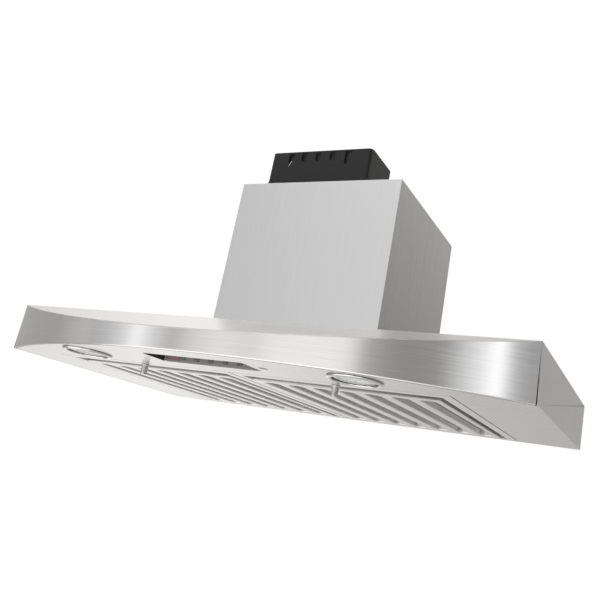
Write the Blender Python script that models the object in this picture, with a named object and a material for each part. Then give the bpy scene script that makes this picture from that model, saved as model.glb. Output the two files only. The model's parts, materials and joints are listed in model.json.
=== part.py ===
"""Chimney range hood with a bowed front, built as separate pieces.

Metres, +Z up, +X to the right of someone facing the hood, -Y towards them. The origin is on the
back face, which hangs on the wall, on the centre line and half-way up the canopy.
"""

import math

import bmesh
import bpy
import numpy as np
from mathutils import Vector

GAP = 0.0003  # clearance between pieces that touch

# Canopy
WIDTH = 0.900
SIDE_DEPTH = 0.468  # from the wall to the front edge of the sides
FULL_DEPTH = 0.5975  # from the wall to the middle of the bowed front
UNDER = -0.040  # height of the underside
TOP = 0.039  # height of the flat roof
ROOF_SLOPE = 0.368  # fall of the roof for each metre in front of the sides
SHEET = 0.0012
BOW = FULL_DEPTH - SIDE_DEPTH
FRONT_RADIUS = (WIDTH**2 / 4 + BOW**2) / (2 * BOW)
FRONT_CENTRE = FRONT_RADIUS - FULL_DEPTH  # Y of the bow's centre
PLATE = 0.0010  # thickness of the underside plate
PLATE_LOW = UNDER + 0.0002
FLANGE = 0.014  # inward flanges that carry the underside plate
BACK_FLANGE = 0.0075
LIP = 0.008  # return lip along the bottom of the front panel
ARC_STEPS = 28

# Openings in the underside
LAMP_X = 0.2297
LAMP_Y = -0.513
LAMP_HOLE = 0.0326
POCKET_X = (-0.0875, 0.0835)
POCKET_Y = (-0.5535, -0.5010)
POCKET_DEPTH = 0.014
POCKET_CORNER = 0.004
SENSOR = (0.099, -0.5245)
SENSOR_HOLE = 0.0068
BAY_X = 0.3418
BAY_Y = (-0.4620, -0.0150)
SCREW_X = 0.4187
SCREW_Y = -0.4560

# Grease filters
FILTER_X = (0.0015, 0.3400)
FILTER_Y = (-0.4605, -0.0165)
FILTER_THICK = 0.014
FILTER_LOW = UNDER + 0.0002
WINDOW_X = (0.0131, 0.3095)
CHANNEL_Y = (-0.4390, -0.4110)  # the deep groove across the front
LEG_X = (0.3110, 0.3225)  # the groove's leg along the right side
GROOVE_DEPTH = 0.0100
SLOT_Y = (-0.3950, -0.0230)
SLOTS = 7
SLOT_WIDTH = 0.0240
RIB_THICK = 0.0088
AIR_GAP = 0.0020  # between a rib's edges and the upper baffles
FILTER_SKIN = 0.0010
KNOB = (0.17075, -0.4450)
KNOB_RADIUS = 0.0050
KNOB_LENGTH = 0.0163
CLIP_END = -0.4362

# Chimney
CHIMNEY_HALF = 0.1615
CHIMNEY_FRONT = -0.3134
CHIMNEY_BACK = -0.0010
CHIMNEY_TOP = 0.3430
CHIMNEY_SHEET = 0.0010
ROOF_HOLE_X = 0.148
ROOF_HOLE_Y = (-0.298, -0.018)

# Blower
BLOWER_X = (-0.1175, 0.0913)  # outer faces of the scroll and of the outlet duct
BLOWER_WALL = 0.0025
FAN_X = (BLOWER_X[0] + BLOWER_X[1]) / 2
FAN_Y = -0.150
FAN_Z = 0.188
FAN_RADIUS = 0.092
BLADE_INNER = 0.078
FAN_HALF = 0.092  # half the impeller's length
BLADES = 24
SCROLL_START = 64.0  # degrees from the front, over the top
SCROLL_SMALL = 0.1005
SCROLL_LARGE = 0.1515
THROAT_FRONT = -0.3015
THROAT_BACK = -0.2095
THROAT_TOP = 0.3020
INLET_RADIUS = 0.077
MOTOR_RADIUS = 0.050
SHAFT_RADIUS = 0.004

# Outlet duct
DUCT_LOW = 0.3045
DUCT_TOP = 0.4110
DUCT_Y = (THROAT_FRONT - BLOWER_WALL, THROAT_BACK + BLOWER_WALL)
DUCT_CORNER = 0.009
DUCT_BEAD = 0.0016  # how far the bead near the duct's foot stands out
DUCT_SLOTS = (-0.0760, -0.0470, -0.0175, 0.0120, 0.0415)
LINER_X = (-0.0860, 0.0560)  # the inner wall behind the duct's slots
LINER_Y = (THROAT_FRONT + 0.0021, THROAT_FRONT + 0.0033)
LINER_LOW = 0.3750
LINER_SLIT = ((0.3850, -0.0806), (0.3970, -0.0752))  # Z and X of the slanting slit's two ends
FLAP_Z = 0.3260
FLAP_SPREAD = 0.0032  # from the middle of the duct to each spindle
FLAP_THICK = 0.0014
SPINDLE = 0.0014

# Controls
PANEL_FACE = -0.5045
BUTTON_FIRST = -0.0512
BUTTON_PITCH = 0.0247
BUTTON_Z = UNDER + 0.0068
BUTTON_SIZE = (0.0080, 0.0050)
DISPLAY_END = BUTTON_FIRST - 0.0065
BOARD_TOP = UNDER + 0.0330
BUTTONS = ("power", "light", "slower", "faster", "timer")


def clear_scene():
    for item in list(bpy.data.objects):
        bpy.data.objects.remove(item, do_unlink=True)


def material(name, colour, roughness, metallic):
    """One Principled material for each finish, made once."""
    found = bpy.data.materials.get(name)
    if found:
        return found
    made = bpy.data.materials.new(name)
    made.use_nodes = True
    shader = made.node_tree.nodes["Principled BSDF"]
    shader.inputs["Base Color"].default_value = (*colour, 1.0)
    shader.inputs["Roughness"].default_value = roughness
    shader.inputs["Metallic"].default_value = metallic
    return made


def brushed():
    return material("brushed_steel", (0.62, 0.61, 0.60), 0.32, 1.0)


def chrome():
    return material("chrome", (0.80, 0.80, 0.80), 0.08, 1.0)


def galvanised():
    return material("galvanised", (0.50, 0.51, 0.52), 0.45, 1.0)


def black_plastic():
    return material("black_plastic", (0.035, 0.033, 0.035), 0.55, 0.0)


def grey_plastic():
    return material("grey_plastic", (0.42, 0.42, 0.42), 0.45, 0.0)


def add(name, vertices, faces, finish, smooth=False):
    """A new object from vertices and faces, with its normals pointing out."""
    mesh = bpy.data.meshes.new(name)
    mesh.from_pydata([tuple(map(float, v)) for v in vertices], [], faces)
    work = bmesh.new()
    work.from_mesh(mesh)
    bmesh.ops.recalc_face_normals(work, faces=work.faces)
    work.to_mesh(mesh)
    work.free()
    if smooth:
        mesh.shade_smooth()
        mesh.set_sharp_from_angle(angle=math.radians(35))
    obj = bpy.data.objects.new(name, mesh)
    bpy.context.scene.collection.objects.link(obj)
    if finish:
        mesh.materials.append(finish)
    return obj


def laid(axis, a, b, along):
    """A point from two numbers of an outline and its place along the axis."""
    return {"Z": (a, b, along), "X": (along, a, b), "Y": (b, along, a)}[axis]


def prism_data(outline, low, high, axis="Z"):
    """An outline carried along an axis. Its two numbers are XY, YZ or ZX, in that order."""
    count = len(outline)
    vertices = [laid(axis, a, b, low) for a, b in outline]
    vertices += [laid(axis, a, b, high) for a, b in outline]
    faces = [tuple(reversed(range(count))), tuple(range(count, 2 * count))]
    for i in range(count):
        j = (i + 1) % count
        faces.append((i, j, count + j, count + i))
    return vertices, faces


def merge_data(parts):
    """Several shapes as one list of vertices and faces."""
    vertices = []
    faces = []
    for some, around in parts:
        start = len(vertices)
        vertices += list(some)
        faces += [tuple(start + i for i in face) for face in around]
    return vertices, faces


def box_data(x, y, z):
    outline = [(x[0], y[0]), (x[1], y[0]), (x[1], y[1]), (x[0], y[1])]
    return prism_data(outline, z[0], z[1])


def prism(name, outline, low, high, finish, axis="Z", smooth=False):
    return add(name, *prism_data(outline, low, high, axis), finish, smooth)


def box(name, x, y, z, finish):
    return add(name, *box_data(x, y, z), finish)


def turned_data(profile, centre, axis="Z", steps=32):
    """A closed profile of (radius, height) turned about an axis through the centre."""
    rings = []
    vertices = []
    for radius, height in profile:
        ring = []
        for i in range(1 if radius == 0 else steps):
            angle = 2 * math.pi * i / steps
            a = radius * math.cos(angle)
            b = radius * math.sin(angle)
            ring.append(len(vertices))
            vertices.append(tuple(Vector(centre) + Vector(laid(axis, a, b, height))))
        rings.append(ring)
    faces = []
    for ring, following in zip(rings, rings[1:] + rings[:1]):
        if len(ring) == 1 and len(following) == 1:
            continue
        for i in range(steps):
            j = (i + 1) % steps
            corners = [ring[i % len(ring)], ring[j % len(ring)]]
            corners += [following[j % len(following)], following[i % len(following)]]
            faces.append(tuple(dict.fromkeys(corners)))
    return vertices, faces


def turned(name, profile, centre, finish, axis="Z", steps=32):
    return add(name, *turned_data(profile, centre, axis, steps), finish, smooth=True)


def modify(obj, data, operation):
    """Cuts away or joins on a shape that stays hidden."""
    helper = add(obj.name + ".tool", *data, None)
    helper.hide_render = True
    helper.display_type = "WIRE"
    modifier = obj.modifiers.new(operation.lower(), "BOOLEAN")
    modifier.operation = operation
    modifier.solver = "EXACT"
    modifier.object = helper
    return obj


def cut(obj, *parts):
    return modify(obj, merge_data(parts), "DIFFERENCE")


def join(obj, *parts):
    return modify(obj, merge_data(parts), "UNION")


def rounded(x, y, radius, steps=4):
    """A rectangle's outline with rounded corners, anticlockwise."""
    corners = [(x[1], y[0], 270), (x[1], y[1], 0), (x[0], y[1], 90), (x[0], y[0], 180)]
    points = []
    for cx, cy, start in corners:
        px = cx - math.copysign(radius, cx - (x[0] + x[1]) / 2)
        py = cy - math.copysign(radius, cy - (y[0] + y[1]) / 2)
        for i in range(steps + 1):
            angle = math.radians(start + 90 * i / steps)
            points.append((px + radius * math.cos(angle), py + radius * math.sin(angle)))
    return points


def disc(centre, radius, steps=32):
    turn = [2 * math.pi * i / steps for i in range(steps)]
    return [(centre[0] + radius * math.cos(a), centre[1] + radius * math.sin(a)) for a in turn]


def bow(inset, half_width, steps=ARC_STEPS):
    """Points along the bowed front from left to right, moved inwards by inset."""
    radius = FRONT_RADIUS - inset
    limit = math.asin(half_width / radius)
    turn = [limit * (2 * i / steps - 1) for i in range(steps + 1)]
    return [(radius * math.sin(a), FRONT_CENTRE - radius * math.cos(a)) for a in turn]


def plan(side_inset, front_inset, back):
    """The canopy's outline seen from above, anticlockwise, moved inwards."""
    half = WIDTH / 2 - side_inset
    return bow(front_inset, half) + [(half, back), (-half, back)]


def above_roof(drop):
    """Everything above the roof, which is flat and then slopes down to the front, lowered by drop."""
    far = FULL_DEPTH + 0.1
    fall = (far - SIDE_DEPTH) * ROOF_SLOPE
    ridge = TOP - drop
    high = TOP + 0.1
    outline = [(0.05, ridge), (0.05, high), (-far, high), (-far, ridge - fall), (-SIDE_DEPTH, ridge)]
    return prism_data(outline, -WIDTH, WIDTH, "X")


def build_canopy():
    shell = prism("canopy_shell", plan(0, 0, 0), UNDER, TOP + 0.01, brushed())
    cut(shell, above_roof(0))
    # The room inside, under a roof of the sheet's thickness, open at the bowed front.
    room = prism_data(plan_open(SHEET, SHEET), UNDER + PLATE + 0.0018, TOP + 0.01)
    inside = add("room", *room, None)
    cut(inside, above_roof(SHEET))
    inside.hide_render = True
    inside.display_type = "WIRE"
    hollow = shell.modifiers.new("hollow", "BOOLEAN")
    hollow.solver = "EXACT"
    hollow.object = inside
    seat = prism_data(plan_open(SHEET, SHEET), UNDER - 0.01, UNDER + PLATE + 0.0006)
    cut(shell, seat)
    cut(shell, prism_data(flange_opening(), UNDER - 0.01, UNDER + PLATE + 0.0030))
    cut(shell, box_data((-ROOF_HOLE_X, ROOF_HOLE_X), ROOF_HOLE_Y, (TOP - 0.01, TOP + 0.01)))
    for shape in keyholes(-0.01, 0.01):
        cut(shell, shape)
    for side, name in ((-1, "left"), (1, "right")):
        profile = [(0, 0.0023), (0.0020, 0.0022), (0.0034, 0.0014), (0.0036, GAP), (0, GAP)]
        turned("roof_screw_" + name, profile, (side * SCREW_X, SCREW_Y, TOP), chrome(), steps=16)


def plan_open(inset, back_inset):
    """The inside outline, which runs out through the bowed front."""
    half = WIDTH / 2 - inset
    front = -FULL_DEPTH - 0.05
    return [(-half, front), (half, front), (half, -back_inset), (-half, -back_inset)]


def flange_opening():
    """The space between the inward flanges, which stop short of the front panel."""
    wall = WIDTH / 2 - SHEET
    edge = WIDTH / 2 - FLANGE
    front = -FULL_DEPTH - 0.05
    stop = -SIDE_DEPTH + 0.006
    right = [(wall, front), (wall, stop), (edge, stop), (edge, -BACK_FLANGE)]
    return right + [(-x, y) for x, y in right[::-1]]


def keyholes(low, high):
    """Two keyholes through the back: a round entry with a narrow slot above it."""
    shapes = []
    for x in (-0.300, 0.300):
        entry = [(z, y) for y, z in disc((x, -0.006), 0.0060, 16)]
        shapes.append(prism_data(list(reversed(entry)), low, high, "Y"))
        slot = [(-0.004, x - 0.0028), (0.012, x - 0.0028), (0.012, x + 0.0028), (-0.004, x + 0.0028)]
        shapes.append(prism_data(list(reversed(slot)), low, high, "Y"))
    return shapes


def build_hanging_plate():
    y = (-SHEET - GAP - 0.0015, -SHEET - GAP)
    plate = box("hanging_plate", (-0.380, 0.380), y, (-0.030, 0.030), galvanised())
    for shape in keyholes(-0.01, 0.01):
        cut(plate, shape)


def build_front_panel():
    outer = 0.0005
    half = WIDTH / 2 - SHEET - 0.0008
    front = bow(outer, half)
    back = bow(outer + SHEET, half)
    panel = prism("front_panel", front + back[::-1], UNDER, TOP + 0.01, brushed(), smooth=True)
    lip_back = bow(outer + LIP, half)
    lip_front = bow(outer + SHEET / 2, half)
    join(panel, prism_data(lip_front + lip_back[::-1], UNDER, UNDER + SHEET))
    cut(panel, above_roof(SHEET + GAP))


def build_underside():
    """The plate that closes the underside, in two halves that meet at the middle of the pocket."""
    half = WIDTH / 2 - SHEET - 0.0004
    outline = bow(LIP + 0.0010, half) + [(half, -SHEET - 0.0004), (-half, -SHEET - 0.0004)]
    reach = (UNDER - 0.01, UNDER + 0.01)
    seam = sum(POCKET_X) / 2
    far_half = {"left": (seam - GAP / 2, WIDTH), "right": (-WIDTH, seam + GAP / 2)}
    for side, name in ((-1, "left"), (1, "right")):
        plate = prism("underside_plate_" + name, outline, PLATE_LOW, PLATE_LOW + PLATE, brushed())
        cut(plate, box_data(far_half[name], (-1, 1), reach))
        cut(plate, prism_data(disc((side * LAMP_X, LAMP_Y), LAMP_HOLE), *reach))
        cut(plate, prism_data(rounded(POCKET_X, POCKET_Y, POCKET_CORNER, 3), *reach))
        cut(plate, box_data((-BAY_X, BAY_X), BAY_Y, reach))
        if side > 0:
            cut(plate, prism_data(disc(SENSOR, SENSOR_HOLE, 20), *reach))
    sensor = [(0, -0.0006), (0.0060, 0), (0.0064, 0.0008), (0.0064, 0.0040), (0, 0.0040)]
    window = material("sensor_window", (0.03, 0.03, 0.04), 0.15, 0.0)
    turned("sensor_window", sensor, (*SENSOR, UNDER), window, steps=20)


def build_lamp(side, name):
    """A lamp hung in the plate: chrome ring, lens, reflector and the can with its light module."""
    centre = (side * LAMP_X, LAMP_Y, UNDER)
    ring = [
        (0.0300, -0.0018),
        (0.0318, -0.0034),
        (0.0352, -0.0034),
        (0.0374, -0.0022),
        (0.0380, -0.0002),
        (0.0318, -0.0001),
        (0.0318, 0.0100),
        (0.0306, 0.0100),
        (0.0306, 0.0008),
        (0.0300, 0.0008),
    ]
    turned("lamp_bezel_" + name, ring, centre, chrome(), steps=40)
    glass = material("lamp_glass", (0.90, 0.91, 0.90), 0.10, 0.0)
    lens = [
        (0, -0.0030),
        (0.0130, -0.0028),
        (0.0245, -0.0020),
        (0.0296, -0.0010),
        (0.0296, 0.0006),
        (0, 0.0006),
    ]
    turned("lamp_lens_" + name, lens, centre, glass, steps=40)
    cup = [
        (0.0296, 0.0012),
        (0.0286, 0.0012),
        (0.0220, 0.0120),
        (0.0106, 0.0190),
        (0, 0.0200),
        (0, 0.0212),
        (0.0110, 0.0202),
        (0.0231, 0.0128),
    ]
    turned("lamp_reflector_" + name, cup, centre, chrome(), steps=32)
    can = [
        (0.0311, 0.0106),
        (0.0336, 0.0106),
        (0.0336, 0.0240),
        (0.0264, 0.0290),
        (0.0106, 0.0290),
        (0.0106, 0.0330),
        (0, 0.0330),
        (0, 0.0230),
        (0.0246, 0.0230),
        (0.0311, 0.0200),
    ]
    turned("lamp_housing_" + name, can, centre, black_plastic(), steps=32)


def key_middle(index):
    return BUTTON_FIRST + BUTTON_PITCH * index


def build_controls():
    """The pocket's tray with its upright panel, the display, five keys and their board."""
    wall = 0.0010
    roof = UNDER + POCKET_DEPTH
    x = (POCKET_X[0] + GAP, POCKET_X[1] - GAP)
    y = (POCKET_Y[0] + GAP, POCKET_Y[1] - GAP)
    rim = PLATE_LOW + PLATE + GAP
    around = rounded(x, y, POCKET_CORNER - GAP, 3)
    tray = prism("control_tray", around, PLATE_LOW, roof + wall, black_plastic())
    flange_x = (x[0] - 0.006, x[1] + 0.006)
    flange_y = (y[0] - 0.006, y[1] + 0.005)
    join(tray, box_data(flange_x, flange_y, (rim, rim + 0.0012)))
    inner_x = (x[0] + wall, x[1] - wall)
    room_y = (y[0] + wall, PANEL_FACE + 0.0030)
    cut(tray, box_data(inner_x, room_y, (UNDER - 0.01, roof)))
    window_x = (BUTTON_FIRST - 0.010, key_middle(len(BUTTONS) - 1) + 0.010)
    window_z = (UNDER + 0.0020, roof - 0.0012)
    cut(tray, box_data(window_x, (PANEL_FACE, y[1] + 0.01), window_z))

    face = (PANEL_FACE, PANEL_FACE + 0.0025)
    panel_x = (inner_x[0] + GAP, inner_x[1] - GAP)
    panel = box("control_panel", panel_x, face, (UNDER + 0.0006, roof - GAP), grey_plastic())
    wide = BUTTON_SIZE[0] / 2
    high = BUTTON_SIZE[1] / 2
    through = (PANEL_FACE - 0.01, PANEL_FACE + 0.01)
    hole_z = (BUTTON_Z - high - GAP, BUTTON_Z + high + GAP)
    holes = []
    for i in range(len(BUTTONS)):
        hole_x = (key_middle(i) - wide - GAP, key_middle(i) + wide + GAP)
        holes.append(box_data(hole_x, through, hole_z))
    display = (panel_x[0] + 0.0025, DISPLAY_END)
    glass_z = (UNDER + 0.0022, roof - 0.0020)
    holes.append(box_data(display, (through[0], PANEL_FACE + 0.0012), glass_z))
    cut(panel, *holes)
    dark_red = material("display_glass", (0.16, 0.03, 0.05), 0.12, 0.0)
    glass_x = (display[0] + GAP, display[1] - GAP)
    glass_y = (PANEL_FACE - 0.0002, PANEL_FACE + 0.0009)
    inside_z = (glass_z[0] + GAP, glass_z[1] - GAP)
    box("display_window", glass_x, glass_y, inside_z, dark_red)

    for i, name in enumerate(BUTTONS):
        key_z = (BUTTON_Z - high, BUTTON_Z + high)
        key_x = (key_middle(i) - wide, key_middle(i) + wide)
        outline = rounded(key_z, key_x, 0.0012, 3)
        reach = (PANEL_FACE - 0.0016, PANEL_FACE + 0.0036)
        prism("button_" + name, outline, *reach, black_plastic(), "Y")

    green = material("circuit_board", (0.02, 0.16, 0.07), 0.45, 0.0)
    board_x = (panel_x[0] + 0.004, panel_x[1] - 0.004)
    board_y = (PANEL_FACE + 0.0075, PANEL_FACE + 0.0091)
    board = box("control_board", board_x, board_y, (UNDER + 0.0030, BOARD_TOP), green)
    switches = []
    for i in range(len(BUTTONS)):
        switch_x = (key_middle(i) - 0.0028, key_middle(i) + 0.0028)
        switch_y = (PANEL_FACE + 0.0050, board_y[0] + 0.0005)
        switches.append(box_data(switch_x, switch_y, (BUTTON_Z - 0.0028, BUTTON_Z + 0.0028)))
    join(board, *switches)


def groove_outline(shift, inset):
    """The groove's L seen from above: across the front and back along the right side."""
    left = WINDOW_X[0] + shift + inset
    bend = LEG_X[0] + shift + inset
    right = LEG_X[1] + shift - inset
    front = CHANNEL_Y[0] + inset
    turn = CHANNEL_Y[1] - inset
    back = SLOT_Y[1] - inset
    return [(left, front), (right, front), (right, back), (bend, back), (bend, turn), (left, turn)]


def build_filter(side, name):
    """A baffle filter. Both are the same part, and the left-hand one stands one width further left."""
    shift = 0 if side > 0 else -(FILTER_X[0] + FILTER_X[1])

    def across(low, high):
        return (low + shift, high + shift)

    skin = FILTER_SKIN
    floor = FILTER_LOW + skin
    high = FILTER_LOW + FILTER_THICK
    above = high + 0.01
    below = UNDER - 0.01
    rib_top = FILTER_LOW + RIB_THICK
    groove_top = FILTER_LOW + GROOVE_DEPTH
    room_y = (CHANNEL_Y[1] + 1.5 * skin, SLOT_Y[1])
    frame = box("filter_frame_" + name, across(*FILTER_X), FILTER_Y, (FILTER_LOW, high), brushed())
    cut(frame, box_data(across(*WINDOW_X), room_y, (rib_top, above)))
    cut(frame, prism_data(groove_outline(shift, 0), below, groove_top))
    cut(frame, prism_data(groove_outline(shift, skin), groove_top + skin, above))
    pitch = (WINDOW_X[1] - WINDOW_X[0]) / SLOTS
    half_slot = SLOT_WIDTH / 2
    slots = []
    ribs = []
    hollows = []
    gaps = []
    air_ways = []
    gap_y = (SLOT_Y[0] + 0.012, SLOT_Y[1] - 0.012)
    for i in range(SLOTS):
        middle = WINDOW_X[0] + pitch * (i + 0.5)
        slot = rounded(across(middle - half_slot, middle + half_slot), SLOT_Y, 0.008, 3)
        slots.append(prism_data(slot, below, rib_top + 0.001))
        hollow = across(middle - 0.0153, middle + 0.0153)
        hollows.append(box_data(hollow, (room_y[0] - 0.01, 0), (UNDER, high - 0.0014)))
        if i:
            line = WINDOW_X[0] + pitch * i
            gaps.append(box_data(across(line - 0.005, line + 0.005), gap_y, (UNDER, above)))
            air_ways.append(box_data(across(line - 0.007, line + 0.007), gap_y, (UNDER, rib_top + AIR_GAP)))
            inside = pitch / 2 - half_slot - skin
            rib = across(line - inside, line + inside)
            ribs.append(box_data(rib, (SLOT_Y[0], SLOT_Y[1] - skin), (floor, high)))
    cut(frame, *slots)
    cut(frame, *ribs)
    rail_y = (FILTER_Y[0] + skin, FILTER_Y[1] - skin)
    rail_z = (floor, above)
    rails = [
        box_data(across(FILTER_X[0] + skin, WINDOW_X[0] - skin), rail_y, rail_z),
        box_data(across(LEG_X[1] + skin, FILTER_X[1] - skin), rail_y, rail_z),
        box_data(across(WINDOW_X[0], LEG_X[1]), (rail_y[0], CHANNEL_Y[0] - skin), rail_z),
    ]
    cut(frame, *rails)
    tongues = []
    tongue_y = (FILTER_Y[1] - 0.002, BAY_Y[1] + 0.005)
    tongue_z = (PLATE_LOW + PLATE + GAP, PLATE_LOW + PLATE + GAP + 0.0012)
    for x in (0.0713, 0.2702):
        tongues.append(box_data(across(x - 0.010, x + 0.010), tongue_y, tongue_z))
    join(frame, *tongues)

    upper_x = across(WINDOW_X[0] + GAP, WINDOW_X[1] - GAP)
    upper_y = (room_y[0] + GAP, room_y[1] - GAP)
    upper = box("upper_baffles_" + name, upper_x, upper_y, (rib_top + GAP, high - 0.0006), galvanised())
    cut(upper, *hollows)
    cut(upper, *gaps)
    cut(upper, *air_ways)

    middle = (KNOB[0] + shift, KNOB[1], FILTER_LOW)
    tip = 0.0012
    handle = [
        (0, -KNOB_LENGTH),
        (KNOB_RADIUS - tip, -KNOB_LENGTH),
        (KNOB_RADIUS, -KNOB_LENGTH + tip),
        (KNOB_RADIUS, -0.0022),
        (KNOB_RADIUS + 0.0012, -0.0018),
        (KNOB_RADIUS + 0.0012, -GAP),
        (0.0022, -GAP),
        (0.0022, FILTER_THICK + 0.0040),
        (0, FILTER_THICK + 0.0040),
    ]
    turned("filter_knob_" + name, handle, middle, chrome(), steps=24)
    cut(frame, prism_data(disc(middle[:2], 0.0026, 16), UNDER - 0.01, high + 0.01))

    # A spring strip on top of the front rail, bent down along the filter's front edge.
    top = high + GAP
    clip = [
        (FILTER_Y[0] - GAP - 0.0008, FILTER_LOW + 0.0040),
        (FILTER_Y[0] - GAP, FILTER_LOW + 0.0040),
        (FILTER_Y[0] - GAP, top),
        (CLIP_END, top),
        (CLIP_END, top + 0.0008),
        (FILTER_Y[0] - GAP - 0.0008, top + 0.0008),
    ]
    spring = material("spring_steel", (0.45, 0.46, 0.48), 0.30, 1.0)
    prism("filter_clip_" + name, clip, *across(KNOB[0] + 0.010, KNOB[0] + 0.040), spring, "X")


def build_chimney():
    base = TOP + GAP
    half = CHIMNEY_HALF
    inner = half - CHIMNEY_SHEET
    front = CHIMNEY_FRONT + CHIMNEY_SHEET
    outline = [
        (-half, CHIMNEY_BACK),
        (-half, CHIMNEY_FRONT),
        (half, CHIMNEY_FRONT),
        (half, CHIMNEY_BACK),
        (inner, CHIMNEY_BACK),
        (inner, front),
        (-inner, front),
        (-inner, CHIMNEY_BACK),
    ]
    cover = prism("chimney_cover", outline, base, CHIMNEY_TOP, brushed())
    foot = [(-inner - 0.0005, front + 0.010), (-inner - 0.0005, front - 0.0005)]
    foot += [(inner + 0.0005, front - 0.0005), (inner + 0.0005, front + 0.010)]
    join(cover, prism_data(foot, base, base + CHIMNEY_SHEET))
    back_y = (CHIMNEY_BACK - CHIMNEY_SHEET, CHIMNEY_BACK)
    box("chimney_back", (-inner + GAP, inner - GAP), back_y, (base, CHIMNEY_TOP), brushed())
    bracket_x = (-inner + 0.0006, inner - 0.0006)
    bracket_y = (back_y[0] - GAP - 0.0015, back_y[0] - GAP)
    bracket_z = (0.290, 0.330)
    ear_y = (bracket_y[0] - 0.022, bracket_y[1])
    bracket = box("chimney_bracket", bracket_x, bracket_y, bracket_z, galvanised())
    ears = [
        box_data((bracket_x[0], bracket_x[0] + 0.0015), ear_y, bracket_z),
        box_data((bracket_x[1] - 0.0015, bracket_x[1]), ear_y, bracket_z),
    ]
    join(bracket, *ears)
    slots = []
    for x in (-0.090, 0.090):
        slots.append(box_data((x - 0.012, x + 0.012), (-0.01, 0), (0.3072, 0.3128)))
    cut(bracket, *slots)


def spiral(extra=0.0, steps=34):
    """The scroll's air side in Y and Z: its radius grows steadily from the tongue to the front."""
    points = []
    for i in range(steps + 1):
        share = i / steps
        angle = math.radians(SCROLL_START + (360 - SCROLL_START) * share)
        radius = SCROLL_SMALL + (SCROLL_LARGE - SCROLL_SMALL) * share + extra
        points.append((FAN_Y - radius * math.cos(angle), FAN_Z + radius * math.sin(angle)))
    return points


def build_scroll():
    plastic = black_plastic()
    tongue = [
        (THROAT_BACK, THROAT_TOP),
        (THROAT_BACK, 0.2880),
        (THROAT_BACK + 0.0020, 0.2820),
        (THROAT_BACK + 0.0070, 0.2790),
    ]
    path = np.array(tongue + spiral() + [(THROAT_FRONT, THROAT_TOP)])
    ahead = np.gradient(path, axis=0)
    ahead /= np.linalg.norm(ahead, axis=1)[:, None]
    outside = path + BLOWER_WALL * np.stack([-ahead[:, 1], ahead[:, 0]], axis=1)
    outside[0] = (THROAT_BACK + BLOWER_WALL, THROAT_TOP)
    outside[-1] = (THROAT_FRONT - BLOWER_WALL, THROAT_TOP)
    outside[-2] = (THROAT_FRONT - BLOWER_WALL, FAN_Z)
    inside_x = (BLOWER_X[0] + BLOWER_WALL + GAP, BLOWER_X[1] - BLOWER_WALL - GAP)
    outline = [tuple(p) for p in path] + [tuple(p) for p in outside[::-1]]
    prism("scroll_band", outline, *inside_x, plastic, "X", smooth=True)

    # Side plates: the spiral's outline, its foot and the throat, with a round inlet.
    foot = [(-0.2300, TOP + 0.0024), (-0.0700, TOP + 0.0024), (-0.0700, 0.110), (-0.2300, 0.110)]
    throat = [(DUCT_Y[0], FAN_Z), (DUCT_Y[1], FAN_Z), (DUCT_Y[1], THROAT_TOP), (DUCT_Y[0], THROAT_TOP)]
    around = list(reversed(spiral(BLOWER_WALL)))
    for name, outer, inner in (("left", BLOWER_X[0], 1), ("right", BLOWER_X[1], -1)):
        faces = sorted((outer, outer + inner * BLOWER_WALL))
        plate = prism("scroll_side_" + name, around, *faces, plastic, "X", smooth=True)
        join(plate, prism_data(foot, *faces, "X"))
        join(plate, prism_data(throat, *faces, "X"))
        flange = sorted((outer, outer + inner * 0.010))
        join(plate, prism_data([(-0.2300, TOP + 0.0024), (-0.0700, TOP + 0.0024), (-0.0700, TOP + 0.0050),
                                (-0.2300, TOP + 0.0050)], *flange, "X"))
        mouth = [(FAN_Y + INLET_RADIUS * math.cos(a), FAN_Z + INLET_RADIUS * math.sin(a))
                 for a in np.linspace(0, 2 * math.pi, 40, endpoint=False)]
        cut(plate, prism_data(mouth, faces[0] - 0.01, faces[1] + 0.01, "X"))
        rim_low, rim_high = sorted((outer - inner * 0.004, outer + inner * BLOWER_WALL / 2))
        rim = [(INLET_RADIUS, rim_low), (INLET_RADIUS, rim_high), (INLET_RADIUS + 0.003, rim_high)]
        rim.append((INLET_RADIUS + 0.003, rim_low))
        join(plate, turned_data(rim, (0, FAN_Y, FAN_Z), "X", 40))

    plate_x = (-0.1585, 0.1585)
    support = box("blower_plate", plate_x, (-0.3000, -0.0060), (TOP + GAP, TOP + 0.0020), galvanised())
    window_z = (TOP - 0.01, TOP + 0.01)
    cut(support, box_data((-0.090, 0.066), (-0.215, -0.085), window_z),
        box_data((-0.146, -0.122), (-0.280, -0.030), window_z),
        box_data((0.100, 0.146), (-0.280, -0.120), window_z))


def slot_outline(index, centre):
    """One slot near the duct's top in Z and X: round below, and the outer two have a side branch."""
    tall = index in (0, len(DUCT_SLOTS) - 1)
    top = DUCT_TOP - 0.003
    low = DUCT_TOP - (0.029 if tall else 0.021)
    half = 0.0035 if tall else 0.0055
    right = centre + half
    outline = [(top, centre - half), (low + half, centre - half)]
    for step in range(1, 5):
        angle = math.pi * step / 5
        outline.append((low + half - half * math.sin(angle), centre - half * math.cos(angle)))
    outline.append((low + half, right))
    if index == 0:
        outline += [(top - 0.010, right), (top - 0.003, right + 0.0055), (top, right + 0.0045)]
    elif tall:
        outline += [(top - 0.0045, right), (top - 0.0035, right + 0.0070), (top, right + 0.0070)]
    else:
        outline.append((top, right))
    return outline


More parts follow.
